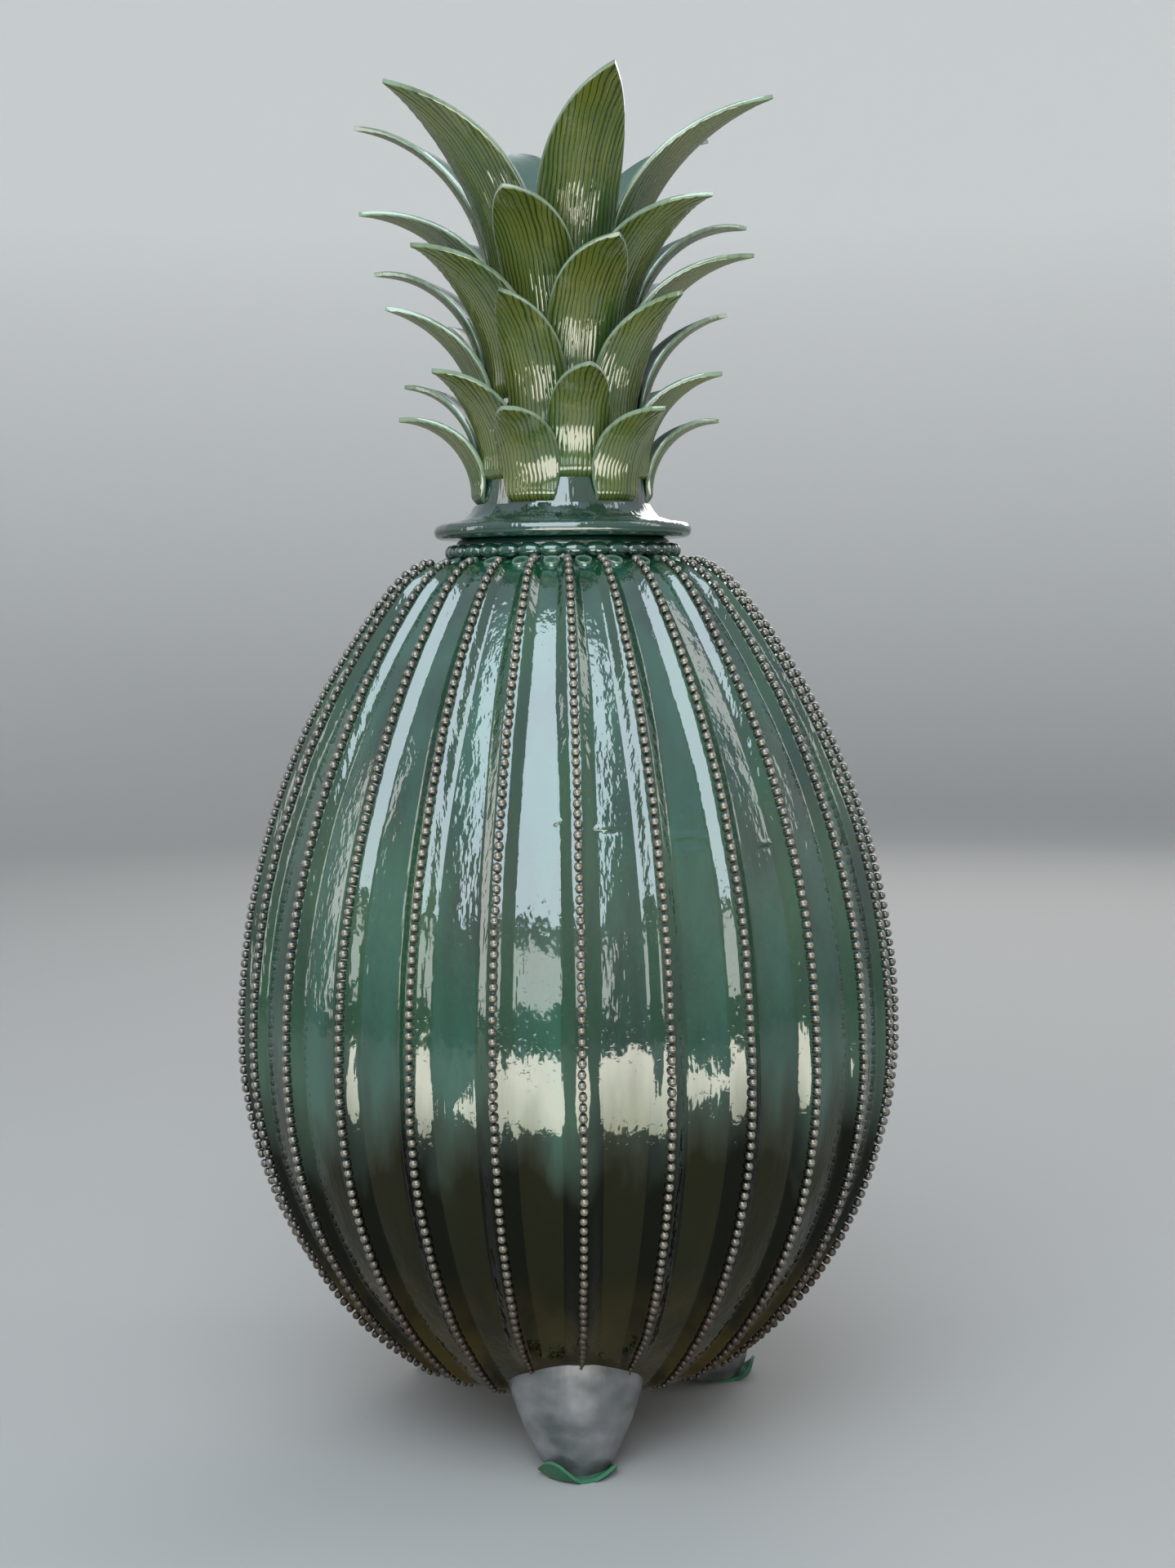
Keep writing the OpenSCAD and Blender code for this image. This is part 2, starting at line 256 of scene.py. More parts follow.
class WallPath:
    """The arcs that the jar's wall follows from its base to its neck, with its normal at every distance."""

    def __init__(self, sizes, start_z, top_r):
        belly_r = LOWER_HIGH.x
        self.lower_c = Vector((belly_r - sizes.lower_arc, sizes.belly_z))
        self.upper_c = Vector((belly_r - sizes.upper_arc, sizes.belly_z))
        self.turn_a = math.asin((sizes.shoulder_z - sizes.belly_z) / sizes.upper_arc)
        reach = sizes.upper_arc - sizes.shoulder_arc
        self.shoulder_c = self.upper_c + reach * Vector((math.cos(self.turn_a), math.sin(self.turn_a)))
        start_a = math.asin((start_z - sizes.belly_z) / sizes.lower_arc)
        top_a = math.acos((top_r - self.shoulder_c.x) / sizes.shoulder_arc)
        self.arcs = (
            (self.lower_c, sizes.lower_arc, start_a, 0.0),
            (self.upper_c, sizes.upper_arc, 0.0, self.turn_a),
            (self.shoulder_c, sizes.shoulder_arc, self.turn_a, top_a),
        )
        self.length = sum(radius * (to_a - from_a) for _, radius, from_a, to_a in self.arcs)

    def at(self, distance, lift=0.0):
        """Distance from the axis, height and normal's slope at a distance along the wall, lifted off it."""
        for centre, radius, from_a, to_a in self.arcs:
            span = radius * (to_a - from_a)
            if distance <= span or centre is self.arcs[-1][0]:
                a = from_a + distance / radius
                out, z = centre + (radius + lift) * Vector((math.cos(a), math.sin(a)))
                return out, z, a
            distance -= span


def by_hand(point):
    """A point of the wall, or of what is laid on it, moved as hands that smooth the clay would move it."""
    out = math.hypot(point.x, point.y)
    if out < 1e-6:
        return point
    outward = Vector((point.x / out, point.y / out, 0.0))
    wave_h, wave_scale = 0.0003, 28.0
    sway_w, sway_scale, sway_from = 0.0006, 14.0, Vector((7.0, 0.0, 0.0))
    wave = wave_h * noise.noise(point * wave_scale)
    sway = sway_w * noise.noise(point * sway_scale + sway_from)
    return point + outward * wave + Vector((-outward.y, outward.x, 0.0)) * sway


# Modelling


def trace(bm, start, *moves):
    """Draw a profile in the XZ plane: a move is a point to go to, or an arc's centre, its turn and its steps."""
    tip = bm.verts.new((start[0], 0.0, start[1]))
    for move in moves:
        if len(move) == 2:
            tip = bmesh.ops.extrude_vert_indiv(bm, verts=[tip])["verts"][0]
            tip.co = (move[0], 0.0, move[1])
        else:
            centre, turn, steps = move
            swept = bmesh.ops.spin(
                bm, geom=[tip], cent=(centre[0], 0.0, centre[1]), axis=(0, -1, 0), angle=turn, steps=steps
            )
            tip = next(v for v in swept["geom_last"] if isinstance(v, bmesh.types.BMVert))
    return bm


def weld(bm, distance=1e-6):
    """Merge points that lie together."""
    bmesh.ops.remove_doubles(bm, verts=bm.verts[:], dist=distance)


def lathe(bm, steps):
    """Turn the profile round the jar's axis into a closed skin."""
    bmesh.ops.spin(
        bm, geom=bm.verts[:] + bm.edges[:], cent=(0, 0, 0), axis=(0, 0, 1), angle=math.tau, steps=steps,
        use_merge=True,
    )
    weld(bm)
    return bm


def new_grid(bm, along, across):
    """Points of a new grid, each with its shares along and across."""
    made = bmesh.ops.create_grid(bm, x_segments=along, y_segments=across, size=0.5)
    return [(v, v.co.x + 0.5, v.co.y + 0.5) for v in made["verts"]]


def lay_grid(bm, along, across, shape):
    """Lay a grid over a surface: shape gives the point at each share along and across."""
    for v, x, y in new_grid(bm, along, across):
        v.co = shape(x, y)


def nearest(rows, share):
    """The row of a list that stands at a share of its length."""
    return rows[round(share * (len(rows) - 1))]


def stamp(bm, template, turn):
    """Add a copy of a template mesh, turned about the jar's axis."""
    before = len(bm.verts)
    bm.from_mesh(template)
    bm.verts.ensure_lookup_table()
    bmesh.ops.rotate(bm, verts=bm.verts[before:], cent=(0, 0, 0), matrix=Matrix.Rotation(turn, 3, "Z"))


def as_mesh(bm, name):
    """Keep a bmesh as a mesh."""
    mesh = bpy.data.meshes.new(name)
    bm.to_mesh(mesh)
    bm.free()
    return mesh


def make_object(name, bm, material):
    """Turn a bmesh into a smooth object of the scene."""
    for face in bm.faces:
        face.smooth = True
    mesh = as_mesh(bm, name)
    mesh.materials.append(material)
    made = bpy.data.objects.new(name, mesh)
    bpy.context.scene.collection.objects.link(made)
    return made


def make_piece(name, bm, material, body, slot, *nodes):
    """Turn a bmesh into a finished piece that rides on a body and stands for its nodes."""
    bmesh.ops.recalc_face_normals(bm, faces=bm.faces[:])
    for edge in bm.edges:
        edge.smooth = edge.calc_face_angle(0.0) < CREASE
    piece = make_object(name, bm, material)
    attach(piece, body)
    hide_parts(*nodes)
    return piece


# Materials


def add_node(tree, kind, inputs=None, **options):
    """Add a node, set its options, and give each input a value or a link."""
    made = tree.nodes.new(kind)
    for key, value in options.items():
        setattr(made, key, value)
    for key, value in (inputs or {}).items():
        if isinstance(value, bpy.types.NodeSocket):
            tree.links.new(value, made.inputs[key])
        else:
            made.inputs[key].default_value = value
    return made


def rgba(value):
    """A colour with full alpha."""
    return (*value, 1.0)


def mix(tree, factor, first, second):
    """Mix two colours by a factor."""
    inputs = {0: factor, 6: first, 7: second}
    return add_node(tree, "ShaderNodeMix", inputs, data_type="RGBA").outputs[2]


def ramp(tree, value, low, high, to_low=0.0, to_high=1.0):
    """Map a value from one range to another, held at both ends."""
    inputs = {"Value": value, "From Min": low, "From Max": high, "To Min": to_low, "To Max": to_high}
    return add_node(tree, "ShaderNodeMapRange", inputs).outputs[0]


def calc(tree, operation, *values):
    """Result of a calculation with values or links."""
    return add_node(tree, "ShaderNodeMath", dict(enumerate(values)), operation=operation).outputs[0]


def times(tree, first, second):
    """Product of two values."""
    return calc(tree, "MULTIPLY", first, second)


def height_at(tree, where):
    """Height of a place."""
    return add_node(tree, "ShaderNodeSeparateXYZ", {0: where}).outputs[2]


def attribute(tree, name):
    """A value that was stored on the mesh."""
    return add_node(tree, "ShaderNodeAttribute", attribute_name=name).outputs["Fac"]


def glaze_flow():
    """Group that gives how a glaze pools, ripples, pits and keeps brush marks over a surface; the brush marks also
    place painted highlights on the feet.
    """
    found = bpy.data.node_groups.get("Glaze flow")
    if found:
        return found
    tree = bpy.data.node_groups.new("Glaze flow", "ShaderNodeTree")
    tree.interface.new_socket("Place", in_out="INPUT", socket_type="NodeSocketVector")
    entry = add_node(tree, "NodeGroupInput")
    leave = add_node(tree, "NodeGroupOutput")

    def cloud(squeeze, scale, detail):
        """Noise that is squeezed in height, or drawn out down the wall where the squeeze is under one."""
        drawn = add_node(tree, "ShaderNodeMapping", {"Vector": entry.outputs[0], "Scale": (1.0, 1.0, squeeze)})
        inputs = {"Vector": drawn.outputs[0], "Scale": scale, "Detail": detail}
        return add_node(tree, "ShaderNodeTexNoise", inputs).outputs[0]

    fine_share = 0.3
    made = {
        "Pooling": ramp(tree, cloud(0.22, 42.0, 4.0), 0.32, 0.68),
        "Ripple": calc(tree, "MULTIPLY_ADD", cloud(0.06, 330.0, 2.0), fine_share, cloud(0.35, 95.0, 3.0)),
        "Pits": ramp(tree, cloud(1.0, 420.0, 2.0), 0.60, 0.74),
        "Brush": ramp(tree, cloud(1.6, 55.0, 4.0), 0.30, 0.70),
    }
    for name, value in made.items():
        tree.interface.new_socket(name, in_out="OUTPUT", socket_type="NodeSocketFloat")
        tree.links.new(value, leave.inputs[name])
    return tree


def once(build):
    """Have a material built at its first use, and found by its name after that."""

    def find(name, *values, **options):
        return bpy.data.materials.get(name) or build(name, *values, **options)

    return find


def start_material(name):
    """A new material with its shader and the surface's place."""
    material = bpy.data.materials.new(name)
    material.use_nodes = True
    tree = material.node_tree
    shader = tree.nodes["Principled BSDF"]
    where = add_node(tree, "ShaderNodeTexCoord").outputs["Object"]
    return material, tree, shader, where


def flow_over(tree, where):
    """How the glaze flows over a surface."""
    return add_node(tree, "ShaderNodeGroup", {"Place": where}, node_tree=glaze_flow()).outputs


def finish_material(tree, shader, base, rough, height, depth):
    """Wire a material's colour, gloss and relief to its shader."""
    tree.links.new(base, shader.inputs["Base Color"])
    tree.links.new(rough, shader.inputs["Roughness"])
    bump = add_node(tree, "ShaderNodeBump", {"Height": height, "Strength": 1.0, "Distance": depth})
    tree.links.new(bump.outputs[0], shader.inputs["Normal"])


@once
def body_glaze(name, thick, thin, patches="Pooling", thick_glaze_and_painted_reflection=0.0, dark=None, rough=0.05):
    """Glaze that lies thick and thin in patches, pale on a raised rim as a painted highlight, and, if asked for, a
    dark metallic lower part that is painted reflection of a dark table, partly thicker glaze.
    """
    material, tree, shader, where = start_material(name)
    flow = flow_over(tree, where)
    colours = settings().colours
    patch = flow[patches]
    base = mix(tree, patch, rgba(thick), rgba(thin))
    if thick_glaze_and_painted_reflection:
        # The dark metallic lower part is painted reflection of a dark table, partly thicker glaze; its edge runs down
        # in drips, and bare ochre shows in patches near the base
        drip, none_z, full_z = 0.035, 0.212, 0.164
        ochre_none_z, ochre_full_z = 0.105, 0.035
        height = height_at(tree, where)
        low = ramp(tree, calc(tree, "MULTIPLY_ADD", patch, drip, height), none_z, full_z, 0.0, thick_glaze_and_painted_reflection)
        near_base = ramp(tree, height, ochre_none_z, ochre_full_z, 0.0, thick_glaze_and_painted_reflection)
        bare = times(tree, near_base, ramp(tree, patch, 0.05, 0.65))
        base = mix(tree, low, base, rgba(dark))
        base = mix(tree, bare, base, rgba(colours.ochre))
        tree.links.new(low, shader.inputs["Metallic"])
    rim_highlight_share, pit_rough, pit_h, relief = 0.6, 0.11, -0.03, 0.0007
    # A pale painted highlight on a raised rim, where the mesh has one
    base = mix(tree, times(tree, attribute(tree, "rim"), rim_highlight_share), base, rgba(colours.painted_rim_highlight))
    gloss = ramp(tree, flow["Pits"], 0.0, 1.0, rough, rough + pit_rough)
    dents = calc(tree, "MULTIPLY_ADD", flow["Pits"], pit_h, flow["Ripple"])
    finish_material(tree, shader, base, gloss, dents, relief)
    shader.inputs["IOR"].default_value = settings().glaze_ior
    return material


@once
def bead_clay(name):
    """Worn glaze, painted lighter, on the crown of each clay bead; dark glaze with painted shade in the gaps; dull
    near the base, with painted shade and a painted reflection of a brown table.
    """
    material, tree, shader, where = start_material(name)
    flow = flow_over(tree, where)
    colours = settings().colours
    # Paler away from the wall and darker toward the wall and between beads: partly worn glaze, partly painted light
    # and painted shade
    crown = ramp(tree, attribute(tree, "crown"), 0.40, 0.95)
    worn_and_painted_light = times(tree, crown, ramp(tree, flow["Pooling"], 0.0, 1.0, 0.45, 1.0))
    # Near the base the beads turn dull brown and metallic: painted shade and a painted reflection of a brown table
    bright_z, dull_z, dull_share, dull_rough, relief = 0.135, 0.070, 0.85, 0.4, 0.0002
    low = ramp(tree, height_at(tree, where), bright_z, dull_z, 0.0, dull_share)
    base = mix(tree, worn_and_painted_light, rgba(colours.dark_glaze_and_painted_shade), rgba(colours.taupe))
    base = mix(tree, low, base, rgba(colours.clay))
    tree.links.new(low, shader.inputs["Metallic"])
    smooth = ramp(tree, flow["Pits"], 0.0, 1.0, 0.14, 0.30)
    gloss = calc(tree, "ADD", smooth, times(tree, low, dull_rough))
    finish_material(tree, shader, base, gloss, flow["Ripple"], relief)
    shader.inputs["IOR"].default_value = settings().leaf_ior
    return material


@once
def leaf_glaze(name):
    """Olive glaze over the combed outer face, running green, with a pale painted highlight along the rim, teal inside.
    """
    material, tree, shader, where = start_material(name)
    flow = flow_over(tree, where)
    colours = settings().colours
    line = attribute(tree, "line")
    away = calc(tree, "ABSOLUTE", calc(tree, "SINE", times(tree, line, math.pi)))
    # Every combed line is drawn with its own weight
    which = calc(tree, "ROUND", line)
    weight = add_node(tree, "ShaderNodeTexWhiteNoise", {"W": which}, noise_dimensions="1D").outputs["Value"]
    comb = ramp(tree, away, 0.0, ramp(tree, weight, 0.0, 1.0, 0.35, 1.1))
    base = mix(tree, comb, rgba(colours.moss), rgba(colours.olive))
    to_foot = ramp(tree, attribute(tree, "along"), 0.9, 0.0, 0.15, 0.75)
    green = times(tree, to_foot, ramp(tree, flow["Pooling"], 0.25, 0.85))
    base = mix(tree, green, base, rgba(colours.leaf_green))
    inside = attribute(tree, "inside")
    base = mix(tree, inside, base, rgba(colours.teal))
    # A pale painted highlight along the rim, broken where the glaze pools
    rim = times(tree, attribute(tree, "rim"), ramp(tree, flow["Pooling"], 0.9, 0.1, 0.35, 1.0))
    base = mix(tree, rim, base, rgba(colours.painted_rim_highlight))
    inner_rough, relief = 0.35, 0.0003
    smooth = ramp(tree, flow["Pits"], 0.0, 1.0, 0.09, 0.24)
    gloss = calc(tree, "ADD", smooth, times(tree, inside, inner_rough))
    finish_material(tree, shader, base, gloss, flow["Ripple"], relief)
    shader.inputs["IOR"].default_value = settings().leaf_ior
    return material


@once
def felt_cloth(name):
    """Matt green felt with a fuzz of short fibres."""
    material, tree, shader, where = start_material(name)
    colours = settings().colours
    fuzz_scale, fuzz_h, shade = 1400.0, 0.0006, 0.45
    fuzz = add_node(tree, "ShaderNodeTexNoise", {"Vector": where, "Scale": fuzz_scale, "Detail": 3.0}).outputs[0]
    dark = tuple(shade * c for c in colours.felt)
    base = mix(tree, ramp(tree, fuzz, 0.3, 0.7), rgba(dark), rgba(colours.felt))
    base = mix(tree, attribute(tree, "edge"), base, rgba(colours.felt_edge))
    finish_material(tree, shader, base, ramp(tree, fuzz, 0.0, 1.0, 0.8, 1.0), fuzz, fuzz_h)
    shader.inputs["Sheen Weight"].default_value = 0.1
    return material


def wall_glaze():
    """Glaze of the shells, the collar and the petals."""
    colours = settings().colours
    # Its dark metallic lower part is painted reflection of a table, partly thicker glaze
    return body_glaze("Body glaze", colours.deep, colours.bright, thick_glaze_and_painted_reflection=0.9, dark=colours.umber_and_painted_reflection)


def rib_glaze():
    """Glaze of the ribs."""
    colours = settings().colours
    # The ribs' dark metallic lower part is painted reflection of a table, partly thicker glaze
    return body_glaze("Rib glaze", colours.deep, colours.flank, thick_glaze_and_painted_reflection=0.92, dark=colours.dark_glaze_and_painted_shade)


def lid_glaze():
    """Glaze of the lid and the core."""
    colours = settings().colours
    return body_glaze("Lid glaze", colours.deep, colours.lid)


def foot_glaze():
    """Greyed glaze of the feet, whose pale grey patches are painted reflection and painted highlights on darker slate
    glaze.
    """
    colours = settings().colours
    return body_glaze("Foot glaze", colours.slate, colours.worn_and_painted_light, patches="Brush", rough=0.30)


# Pieces


class JarOperator(bpy.types.Operator):
    """Shared ground of the jar's operators."""

    bl_options = {"REGISTER", "UNDO"}


class JAR_OT_shells(JarOperator):
    """Model the lower and the upper shell of the jar, with the scar of the seam between them."""

    bl_idname = "jar.shells"
    bl_label = "Shells"

    def execute(self, context):
        sizes = settings().body
        around = sizes.ribs * 16
        path = WallPath(sizes, LOWER_LOW.z, sizes.neck_r)
        inner_z = LOWER_LOW.z + sizes.floor
        seam_a = math.asin((LOWER_HIGH.z - sizes.belly_z) / sizes.upper_arc)
        inner_arc = sizes.lower_arc - sizes.wall
        upper_inner = sizes.upper_arc - sizes.wall
        shoulder_inner = sizes.shoulder_arc - sizes.wall
        base_a = math.asin((LOWER_LOW.z - sizes.belly_z) / sizes.lower_arc)
        floor_a = math.asin((inner_z - sizes.belly_z) / inner_arc)
        base_r = path.lower_c.x + sizes.lower_arc * math.cos(base_a)
        seam_in_a = math.asin((LOWER_HIGH.z - sizes.belly_z) / upper_inner)
        seam_r = path.upper_c.x + sizes.upper_arc * math.cos(seam_a)
        seam_in_r = path.upper_c.x + upper_inner * math.cos(seam_in_a)

        # The wall is cut finely as far as the scar wanders
        spare = 0.004
        near_a = (sizes.scar_tilt + spare) / sizes.upper_arc
        bm = trace(
            bmesh.new(), (0.0, LOWER_LOW.z), (base_r, LOWER_LOW.z), (path.lower_c, -base_a, 40),
            (path.upper_c, seam_a - near_a, 18), (path.upper_c, near_a, 26), (seam_in_r, LOWER_HIGH.z),
            (path.upper_c, -seam_in_a, 12), (path.lower_c, floor_a, 18), (0.0, inner_z),
        )
        self.roughen(lathe(bm, around), sizes)
        make_piece("lower_shell", bm, wall_glaze(), "jar", "body_glaze", "jar_lower_shell")

        bore_r = sizes.neck_r - sizes.wall
        neck_a = math.acos((sizes.neck_r - path.shoulder_c.x) / sizes.shoulder_arc)
        bore_a = math.acos((bore_r - path.shoulder_c.x) / shoulder_inner)
        lip = sizes.wall / 2
        bm = trace(
            bmesh.new(), (seam_r, LOWER_HIGH.z), (path.upper_c, near_a, 26),
            (path.upper_c, path.turn_a - seam_a - near_a, 16), (path.shoulder_c, neck_a - path.turn_a, 14),
            (sizes.neck_r, RIM_Z - lip), ((sizes.neck_r - lip, RIM_Z - lip), math.pi, 10),
            (bore_r, path.shoulder_c.y + shoulder_inner * math.sin(bore_a)),
            (path.shoulder_c, path.turn_a - bore_a, 10), (path.upper_c, seam_in_a - path.turn_a, 18),
            (seam_r, LOWER_HIGH.z),
        )
        self.roughen(lathe(bm, around), sizes)
        make_piece("upper_shell", bm, wall_glaze(), "jar", "body_glaze", "jar_upper_shell")
        return {"FINISHED"}

    @staticmethod
    def roughen(bm, sizes):
        """Smooth the wall by hand, and leave a broken lip with a crack below it along the seam."""
        lip_w, crack_depth, crack_at, crack_w = 0.0016, 0.6, 1.7, 0.7
        level_turn, patch_scale, patch_gain, patch_gap = 0.2, 34.0, 3.0, 0.15
        # Height and scale of each wave that the scar follows
        waves = ((0.004, 45.0), (0.0025, 150.0))
        for v in bm.verts:
            scar_z = LOWER_HIGH.z - sizes.scar_tilt * math.sin(turn_of(v.co) + level_turn)
            wander = sum(height * noise.noise(v.co * scale) for height, scale in waves)
            off = (v.co.z - scar_z - wander) / lip_w
            patch = max(0.0, min(1.0, patch_gain * noise.noise(v.co * patch_scale) - patch_gap))
            lip = math.exp(-off * off) - crack_depth * math.exp(-(((off + crack_at) / crack_w) ** 2))
            grown = 1.0 + sizes.scar_h * patch * lip / LOWER_HIGH.x
            v.co = by_hand(v.co * Vector((grown, grown, 1.0)))


class JAR_OT_ribs(JarOperator):
    """Model the ribs down the body and the rows of clay beads on their crests."""

    bl_idname = "jar.ribs"
    bl_label = "Ribs and beads"

    def execute(self, context):
        sizes = settings().body
        into_foot = 0.005
        # Keyed by whether a rib is cut short by a foot
        paths = {
            False: WallPath(sizes, LOWER_LOW.z + sizes.rib_lift, sizes.rib_top_r),
            True: WallPath(sizes, settings().feet.height - into_foot, sizes.rib_top_r),
        }
        # Where such a rib starts to rise, and how far on it stands full
        rises = {False: (-0.001, 0.012), True: (0.010, 0.030)}
        ribs = {short: self.rib(path, sizes, *rises[short]) for short, path in paths.items()}
        kinds = 3
        rows = {
            short: [self.beads(path, sizes, seed, *rises[short]) for seed in range(kinds)]
            for short, path in paths.items()
        }
        rib_bm, bead_bm = bmesh.new(), bmesh.new()
        for i in range(sizes.ribs):
            turn = sizes.rib_turn + i * math.tau / sizes.ribs
            short = self.over_foot(turn)
            stamp(rib_bm, ribs[short], turn)
            stamp(bead_bm, rows[short][i % kinds], turn)
        for v in rib_bm.verts[:] + bead_bm.verts[:]:
            v.co = by_hand(v.co)
        make_piece("ribs", rib_bm, rib_glaze(), "jar", "body_glaze", "rib_strips")
        make_piece("beads", bead_bm, bead_clay("Bead clay"), "jar", "bead_clay", "rib_beads")
        return {"FINISHED"}

    @staticmethod
    def over_foot(turn):
        """Whether a rib runs down into a foot."""
        half_span = math.radians(24)
        return any(abs(turn_between(turn_of(foot_centre(foot)), turn)) < half_span for foot in FEET)

    @staticmethod
    def share(path, distance, bare, rise):
        """Share of its full height that a rib has at a distance along its path."""
        least, top_fade, top_share = 0.03, 0.012, 0.35
        return min(1.0, max(least, (distance - bare) / rise), (path.length - distance) / top_fade + top_share)

    @classmethod
    def rib(cls, path, sizes, bare, rise):
        """One rib at the front: a ridge with filleted feet that narrows with the room it has and fades at its ends."""
        section = [(-side, lift) for side, lift in RIB_SECTION] + [*reversed(RIB_SECTION)]
        steps, most_room = 130, 0.66

        def shape(along, across):
            distance = along * path.length
            side, lift = nearest(section, across)
            out, _, _ = path.at(distance)
            side *= min(sizes.rib_w, most_room * math.tau * out / sizes.ribs) / 2
            end = cls.share(path, distance, bare, rise)
            # The wall falls away to both sides of the rib's middle
            out, z, _ = path.at(distance, lift * sizes.rib_h * end - side ** 2 / (2 * out))
            return place(0.0, out, side, z)

        bm = bmesh.new()
        lay_grid(bm, steps, len(section) - 1, shape)
        return as_mesh(bm, "rib")

    @classmethod
    def beads(cls, path, sizes, seed, bare, rise):
        """One row of squat beads at the front, each a little different."""
        rng = random.Random(seed)
        bm = bmesh.new()
        crown = bm.verts.layers.float.new("crown")
        stray = 0.0002
        # The beads grow over the first length of a row
        fade, least_size, least_rise, full_rise = 0.07, 0.45, 0.15, 0.5
        count = int((path.length - 2 * sizes.bead_r) / sizes.bead_pitch)
        for i in range(count + 1):
            distance = sizes.bead_r + i * sizes.bead_pitch + rng.uniform(-stray, stray)
            crest = sizes.rib_h * cls.share(path, distance, bare, rise)
            out, z, a = path.at(distance, crest + sizes.bead_r * min(full_rise, least_rise + distance / fade))
            spot = place(0.0, out, rng.uniform(-stray, stray), z)
            size = rng.uniform(0.92, 1.04) * sizes.bead_r * min(1.0, least_size + distance / fade)
            turned = Matrix.Translation(spot) @ Matrix.Rotation(math.pi / 2 - a, 4, "X")
            made = bmesh.ops.create_uvsphere(bm, u_segments=8, v_segments=5, radius=1.0)["verts"]
            # The crown value is high on the side away from the wall and falls toward the wall and the next beads,
            # where it paints shade
            for v in made:
                v[crown] = 0.5 + 0.5 * v.co.z - 0.5 * v.co.y ** 4
            bmesh.ops.scale(bm, verts=made, vec=(size, 1.08 * size, size))
            bmesh.ops.transform(bm, verts=made, matrix=turned)
        return as_mesh(bm, "bead_row")


class JAR_OT_collar(JarOperator):
    """Model the pressed collar round the neck and the petals below it."""

    bl_idname = "jar.collar"
    bl_label = "Collar and petals"

    def execute(self, context):
        sizes = settings().body
        pinched, tallness = 0.45, 1.05

        def shape(along, across):
            turn, a = along * math.tau, across * math.tau
            lobe = abs(math.sin(sizes.lobes * turn / 2)) ** 0.5
            radius = sizes.collar_r * (pinched + (1.0 - pinched) * lobe)
            return place(
                turn, sizes.neck_r + sizes.collar_out + radius * math.cos(a), 0.0,
                sizes.collar_z + tallness * radius * math.sin(a),
            )

        bm = bmesh.new()
        lay_grid(bm, sizes.lobes * 12, 14, shape)
        weld(bm)
        make_piece("collar", bm, wall_glaze(), "jar", "body_glaze", "neck_collar")

        template = self.petal(sizes)
        bm = bmesh.new()
        for i in range(sizes.ribs):
            stamp(bm, template, sizes.rib_turn + (i + 0.5) * math.tau / sizes.ribs)
        make_piece("petals", bm, wall_glaze(), "jar", "body_glaze", "shoulder_petals")
        return {"FINISHED"}

    @staticmethod
    def petal(sizes):
        """One petal at the front: a tongue with a raised rim that hangs from under the collar."""
        path = WallPath(sizes, LOWER_LOW.z, sizes.neck_r + sizes.collar_r)
        middle = path.length - sizes.petal_l / 2
        # From the middle to the edge: share of the way out, height above the wall, paleness of the painted highlight
        # on the raised rim
        rings = (
            (0.0, 0.45, 0.0), (0.4, 0.45, 0.0), (0.62, 0.55, 0.2), (0.76, 0.95, 1.0), (0.88, 1.0, 1.0),
            (0.96, 0.7, 0.6), (1.0, -0.15, 0.0),
        )
        bm = bmesh.new()
        rim = bm.verts.layers.float.new("rim")
        for v, x, y in new_grid(bm, len(rings) - 1, 28):
            share, lift, pale = nearest(rings, x)
            a = y * math.tau
            side = share * sizes.petal_w * math.sin(a)
            out, z, _ = path.at(middle - share * sizes.petal_l / 2 * math.cos(a), lift * sizes.petal_t)
            v.co = place(0.0, out, side, z)
            v[rim] = pale
        weld(bm)
        return as_mesh(bm, "petal")


def foot_centre(foot):
    """Middle of a foot's pad on the table."""
    low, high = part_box(f"foot_pad_{foot}")
    return (low + high) / 2


